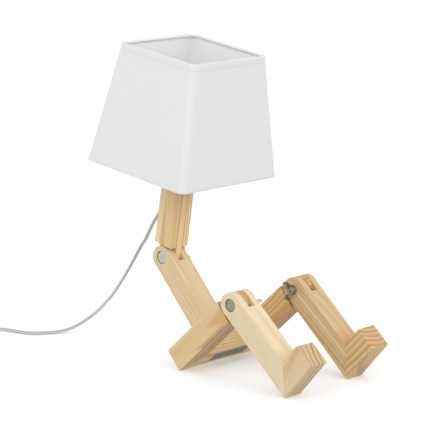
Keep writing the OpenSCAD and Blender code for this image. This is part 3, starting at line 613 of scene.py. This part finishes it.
# Metals: tint, roughness, how much lighter the bright blotches are, and the pieces they are on;
# a centred one has its pattern laid from the middle of its first piece
metals = {
    # The neck bolt is the knee bolts' zinc, tinted lighter and bluer as a painted reflection of the shade
    # above it
    "zinc neck bolt with painted reflection": {"tint": (0.43, 0.45, 0.41), "rough": 0.45, "centred": True, "on": ["neck_bolt"]},
    "zinc knee bolt": {"tint": (0.27, 0.255, 0.19), "rough": 0.5, "centred": True,
                       "on": ["knee_bolt_right"]},
    "zinc far bolt": {"tint": (0.30, 0.285, 0.22), "rough": 0.5, "centred": True,
                      "on": ["knee_bolt_left"]},
    "zinc washer": {"tint": (0.34, 0.33, 0.29), "rough": 0.34,
                    "on": ["neck_washer", "knee_washer_right", "knee_washer_left"]},
    "bright wing nut": {"tint": (0.18, 0.176, 0.15), "rough": 0.2, "lift": 2.8,
                        "on": ["neck_wing_nut", "knee_wing_nut_right", "knee_wing_nut_left"]},
    "steel screw": {"tint": (0.66, 0.62, 0.50), "rough": 0.35, "on": ["torso_screws", "switch_screws"]},
    "brass": {"tint": (0.62, 0.44, 0.19), "rough": 0.3,
              "on": ["nipple", "nipple_nut", "screw_shell", "centre_contact", "switch_contacts"]},
    "nickel": {"tint": (0.48, 0.47, 0.43), "rough": 0.24, "on": ["plug_pins", "bulb_cap"]},
    "foil": {"tint": (0.195, 0.222, 0.212), "rough": 0.5, "on": ["rating_plate"]},
}


# Middle of a node's box
def middle(node):
    low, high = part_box(node)
    return tuple((low + high) / 2)


# Slow blotches change the tone, and a fine grain the gloss and the relief
def metalPaint(name, facts):
    paint = Paint(name, Metallic=1.0)
    where = paint.place(middle(facts["on"][0]) if facts.get("centred") else (0, 0, 0))
    grain = paint.noise(where, 0.9, 4.0, 0.6)
    blotch = paint.noise(where, 0.16, 2.0)
    light = tuple(min(1.0, value * facts.get("lift", 1.18)) for value in facts["tint"])
    paint.feed("Base Color", paint.blend(blotch.step(0.3, 0.7), facts["tint"], light))
    paint.feed("Roughness", facts["rough"] + (grain - 0.5) * 0.25)
    paint.relief(grain, 0.05, 0.5)
    return paint


for name, facts in metals.items():
    dress(metalPaint(name, facts), *facts["on"])


# Plastics and other smooth stuff: tint, roughness, gloss of the skin, and the pieces they are on
moulded = {
    "white plastic": {"tint": (0.80, 0.80, 0.78), "rough": 0.34, "coat": 0.15,
                      "on": ["holder_cap", "holder_body", "clamp_ring_lower", "clamp_ring_upper",
                             "switch_base", "switch_cover", "plug_body"]},
    "rocker plastic": {"tint": (0.74, 0.74, 0.72), "rough": 0.3, "coat": 0.2, "on": ["switch_rocker"]},
    "ceramic": {"tint": (0.82, 0.80, 0.74), "rough": 0.25, "coat": 0.3, "on": ["contact_block"]},
    "relief rubber": {"tint": (0.66, 0.66, 0.64), "rough": 0.5, "coat": 0.0, "on": ["strain_relief"]},
    "lead insulation": {"tint": (0.30, 0.14, 0.06), "rough": 0.4, "coat": 0.0, "on": ["holder_leads"]},
    "coated wire": {"tint": (0.80, 0.80, 0.79), "rough": 0.4, "coat": 0.2,
                    "on": ["shade_frame_bottom", "shade_frame_top"]},
    "collar plastic": {"tint": (0.82, 0.82, 0.80), "rough": 0.4, "coat": 0.0, "on": ["bulb_collar"]},
    "opal plastic": {"tint": (0.86, 0.85, 0.81), "rough": 0.22, "coat": 0.3, "on": ["bulb_globe"]},
    "beech dowel": {"tint": (0.70, 0.48, 0.27), "rough": 0.6, "coat": 0.0,
                    "on": ["frame_dowels", "foot_dowels_right", "foot_dowels_left"]},
}


# Slow clouds change the tone, and a fine skin the gloss and the relief
def mouldedPaint(name, facts):
    paint = Paint(name, Coat_Weight=facts["coat"], Coat_Roughness=0.15)
    where = paint.place()
    skin = paint.noise(where, 2.2, 3.0, 0.55)
    cloud = paint.noise(where, 0.05, 2.0)
    deep = tuple(value * 0.93 for value in facts["tint"])
    paint.feed("Base Color", paint.blend(cloud.step(0.3, 0.7), facts["tint"], deep))
    paint.feed("Roughness", facts["rough"] + (skin - 0.5) * 0.12)
    paint.relief(skin, 0.03, 0.35)
    return paint


for name, facts in moulded.items():
    dress(mouldedPaint(name, facts), *facts["on"])
print("fittings finished")


# Shade: laminated cloth on two wire frames, in mm, with start and fitter measured from the neck's
# pivot and nod in degrees
shadeFacts = {
    "lowWidth": 168.0,
    "highWidth": 127.4,
    "height": 150.0,
    "start": 116.5,
    "fitter": 128.5,
    "corner": 9.0,
    "wall": 0.8,
    "nod": 1.5,
    "forward": 2.5,
    "pull": 0.5,
    "hem": 8.0,
    "tape": 0.25,
    "wire": 3.0,
    "wireGap": 0.1,
    "wireWrap": 0.15,
}
# Cloth: thread spacing in mm, tints, and scales per metre of its slubs and clouds
clothFacts = {
    "thread": 0.42,
    "outside": (0.81, 0.815, 0.822),
    # White lining inside, tinted brighter still as painted light coming through the cloth
    "litLining": (0.975, 0.975, 0.985),
    "tape": (0.80, 0.805, 0.812),
    # Darker thread tone for slubs and clouds, also used as painted shade in the weave's dips
    "slubAndWeaveShade": 0.93,
    "slub": (300, 4000),
    "cloud": (18, 10),
}


# Loops round the shade: for each (height, offset) a square of that half width with round corners
def shadeLoops(profile, facts, cornerCount=10, edgeCount=14):
    turn = np.concatenate([quarter + np.linspace(0, 90, cornerCount) for quarter in (0, 90, 180, 270)])
    signX = np.repeat([1, -1, -1, 1], cornerCount)
    signY = np.repeat([1, 1, -1, -1], cornerCount)
    height, offset = profile[:, :1], profile[:, 1:]
    slope = (facts["lowWidth"] - facts["highWidth"]) / 2 / facts["height"]
    flat = facts["lowWidth"] / 2 - (height - facts["start"]) * slope - facts["corner"]
    reach = facts["corner"] + offset
    x = flat * signX + reach * np.cos(np.radians(turn))
    y = flat * signY + reach * np.sin(np.radians(turn))
    loops = np.stack([x, y, height + 0 * x], -1)
    # the stretches between the corners are cut into equal steps and pulled in as a shallow arch
    share = np.linspace(0, 1, edgeCount, endpoint=False)[1:, None]
    middleOf = np.clip((height - facts["start"]) / facts["height"], 0, 1)
    pull = facts["pull"] * np.sin(np.pi * middleOf)
    pieces = []
    for corner in range(4):
        stretch = loops[:, corner * cornerCount:(corner + 1) * cornerCount]
        last, first = stretch[:, -1:], loops[:, (corner + 1) % 4 * cornerCount][:, None]
        edge = last + (first - last) * share[None]
        inwards = -np.array([np.cos(np.pi / 2 * (corner + 1)), np.sin(np.pi / 2 * (corner + 1)), 0])
        edge = edge + (4 * share * (1 - share))[None] * pull[:, :, None] * inwards
        pieces += [stretch, edge]
    return np.concatenate(pieces, 1)


# Local shade places to the lamp: x across, y to the back, z along the shade, which nods on its fitter
def fromShade(points, facts):
    neck, lean = np.radians(neckSlope), np.radians(neckSlope + facts["nod"])
    fitter = (facts["fitter"] * np.array([0.0, -np.cos(neck), np.sin(neck)])
              - facts["forward"] * np.array([0.0, np.sin(neck), np.cos(neck)]))
    axes = np.array([[1.0, 0.0, 0.0], [0.0, np.sin(lean), np.cos(lean)], [0.0, -np.cos(lean), np.sin(lean)]])
    local = points - np.array([0.0, 0.0, facts["fitter"]])
    return np.array(neckPivot) + (fitter + local @ axes) * mm


# Closed band round the shade: the loops of a profile that ends where it starts
def shadeBand(name, profile, facts):
    profile = np.asarray(profile, float)
    grid = shadeLoops(profile, facts)
    middleRow = grid[len(grid) // 2]
    lengths = np.linalg.norm(np.roll(middleRow, -1, 0) - middleRow, axis=1)
    around = np.concatenate([[0], np.cumsum(lengths)]) * mm
    steps = np.linalg.norm(np.roll(profile, -1, 0) - profile, axis=1)
    along = np.concatenate([[0], np.cumsum(steps)]) * mm
    return gridPiece(name, fromShade(grid, facts), around, along, closedRows=True)


# Cloth: up the outside and down the inside, half a wall each way from the frustum
def addShade(facts):
    half = facts["wall"] / 2
    low, high = facts["start"], facts["start"] + facts["height"]
    heights = np.linspace(low, high, 25)
    outside = np.stack([heights, half + 0 * heights], 1)
    inside = np.stack([heights[::-1], -half + 0 * heights], 1)
    return shadeBand("shade_cloth", np.vstack([outside, inside]), facts)


# Hem: tape down the outside, over the edge, round the wire and up behind it
def addHem(name, edge, sign, facts):
    half, tape, hem = facts["wall"] / 2, facts["tape"], facts["hem"]
    wireRadius = facts["wire"] / 2
    centre = np.array([wireRadius + facts["wireGap"], -half - facts["wireGap"] - wireRadius])
    radius = wireRadius + facts["wireWrap"]
    bend = np.radians(np.linspace(0, 180, 13))
    roundWire = np.stack([-np.sin(bend), np.cos(bend)], 1)
    # the profile is (distance inwards from the edge, offset from the wall)
    over = centre + (radius + tape) * roundWire
    under = centre + radius * roundWire
    over[:, 0] = np.maximum(over[:, 0], -tape)
    outer = [[hem, half + 0.02], [hem - 0.1, half + 0.04], [hem - 0.8, half + tape * 0.7],
             [hem - 2, half + tape], [0.5, half + tape], [0.0, half + tape * 0.8],
             [-tape * 0.8, half], [-tape, -half]]
    inner = [[-0.02, -half], [-0.02, half + 0.02]]
    profile = np.vstack([outer, over[1:], under[::-1][:-1], inner])
    profile[:, 0] = edge + sign * profile[:, 0]
    return shadeBand(name, profile, facts)


# Plain weave of warp and weft by turns, with thick and thin threads; the lining starts where the
# profile turns back, one cloth height along it, a white lining brightened further as painted light through
# the cloth
def clothPaint(name, facts, tint, litLiningFrom=None):
    paint = Paint(name, Sheen_Weight=0.15, Sheen_Roughness=0.4)
    across, along, _ = paint.parts(paint.add("TexCoord", output=2))
    pitch = facts["thread"] * mm
    warp = (across / pitch * fullTurn).sine() * 0.5 + 0.5
    weft = (along / pitch * fullTurn).sine() * 0.5 + 0.5
    check = ((across / pitch).floor() + (along / pitch).floor()) * 0.5
    over = check.fraction() * 2
    weave = warp * over + weft * (1 - over)
    coarse, fine = facts["slub"]
    slub = paint.noise(paint.join(across * coarse, along * fine, 0.0), 1.0, 2.0)
    slubUp = paint.noise(paint.join(across * fine, along * coarse, 5.0), 1.0, 2.0)
    cloudAcross, cloudAlong = facts["cloud"]
    cloud = paint.noise(paint.join(across * cloudAcross, along * cloudAlong, 1.0), 1.0, 2.0)
    deep = tuple(value * facts["slubAndWeaveShade"] for value in tint)
    thread = slub * 0.5 + slubUp * 0.5
    # Slubs and clouds darken threads as the cloth's own tone; the dips between crossings are painted shade
    colour = paint.blend(thread.step(0.35, 0.65) * 0.6 + (1 - weave) * 0.25, tint, deep)
    colour = paint.blend(cloud * 0.12, colour, deep)
    # The inside face gets the lining tint: partly a white lining, partly painted light through the cloth
    if litLiningFrom:
        inside = along.step(litLiningFrom * mm, (litLiningFrom + 1.5) * mm)
        colour = paint.blend(inside, colour, paint.blend(cloud * 0.5, facts["litLining"], tint))
    paint.feed("Base Color", colour)
    paint.feed("Roughness", 0.82 + thread * 0.12)
    paint.relief(weave * 0.7 + thread * 0.6, 0.08, 0.4)
    return paint


cloth = addShade(shadeFacts)
hemLow = addHem("hem_lower", shadeFacts["start"], 1, shadeFacts)
hemHigh = addHem("hem_upper", shadeFacts["start"] + shadeFacts["height"], -1, shadeFacts)
clothPainted = clothPaint("shade cloth", clothFacts, clothFacts["outside"], shadeFacts["height"])
cloth.data.materials.append(clothPainted.material)
hemPaint = clothPaint("hem tape", clothFacts, clothFacts["tape"])
hemLow.data.materials.append(hemPaint.material)
hemHigh.data.materials.append(hemPaint.material)
for piece, node, slot in ((cloth, "shade_fabric", "shade_cloth"), (hemLow, "shade_hem_bottom", "hem_tape"),
                          (hemHigh, "shade_hem_top", "hem_tape")):
    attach(piece, "neck")
    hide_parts(node)
print("shade sewn")


# Floor and light: strengths of the studio's white by height, and two soft square lights
lightFacts = {
    "zenith": 0.78,
    "horizon": 1.27,
    "below": 0.53,
    "horizonFrom": (-0.3, 0.12),
    "zenithFrom": (0.2, 0.9),
    "floorGlow": 0.14,
    "floorSize": 24.0,
    "floorTones": ((0.93, 0.95, 0.975), (0.95, 0.965, 0.985)),
    "key": {"from": (-2.2, -0.7, 1.9), "size": 1.4, "power": 13.0},
    "fill": {"from": (0.2, -2.3, 1.5), "size": 1.4, "power": 8.0},
}


# Plain pale floor with a faint glow of its own
def addFloor(facts):
    bpy.ops.mesh.primitive_plane_add(size=facts["floorSize"])
    floor = bpy.context.object
    floor.name = "studio_floor"
    floor.visible_diffuse = False  # light from below comes from the studio's own gradient
    paint = Paint("studio floor", Roughness=0.9, Specular_IOR_Level=0.1)
    grain = paint.noise(paint.place(), 0.01, 2.0)
    paint.feed("Base Color", paint.blend(grain, *facts["floorTones"]))
    paint.feed("Emission Color", (1.0, 1.0, 1.0))
    paint.feed("Emission Strength", facts["floorGlow"])
    floor.data.materials.append(paint.material)


# Square light turned to the camera's aim
def addLamp(name, facts):
    light = bpy.data.lights.new(name, "AREA")
    light.size = facts["size"]
    light.energy = facts["power"]
    lamp = bpy.data.objects.new(name, light)
    lamp.location = facts["from"]
    aim = Vector(cameraView["aim"]) - lamp.location
    lamp.rotation_euler = aim.to_track_quat("-Z", "Y").to_euler()
    bpy.context.scene.collection.objects.link(lamp)


# White all round, brightest at the horizon, dimmer towards the zenith and dimmest below
def addWorld(facts):
    world = bpy.data.worlds.new("studio")
    tree = Tree(world)
    height = tree.parts(tree.add("TexCoord", output=0))[2]
    rise = height.step(*facts["horizonFrom"]) * (facts["horizon"] - facts["below"])
    fall = height.step(*facts["zenithFrom"]) * (facts["horizon"] - facts["zenith"])
    strength = facts["below"] + rise - fall
    background = tree.tree.nodes["Background"]
    background.inputs["Color"].default_value = (1.0, 1.0, 1.0, 1.0)
    tree.plug(background.inputs["Strength"], strength)
    bpy.context.scene.world = world


addFloor(lightFacts)
addLamp("key", lightFacts["key"])
addLamp("fill", lightFacts["fill"])
addWorld(lightFacts)
bpy.context.scene.view_settings.view_transform = "Standard"
print("studio lit")
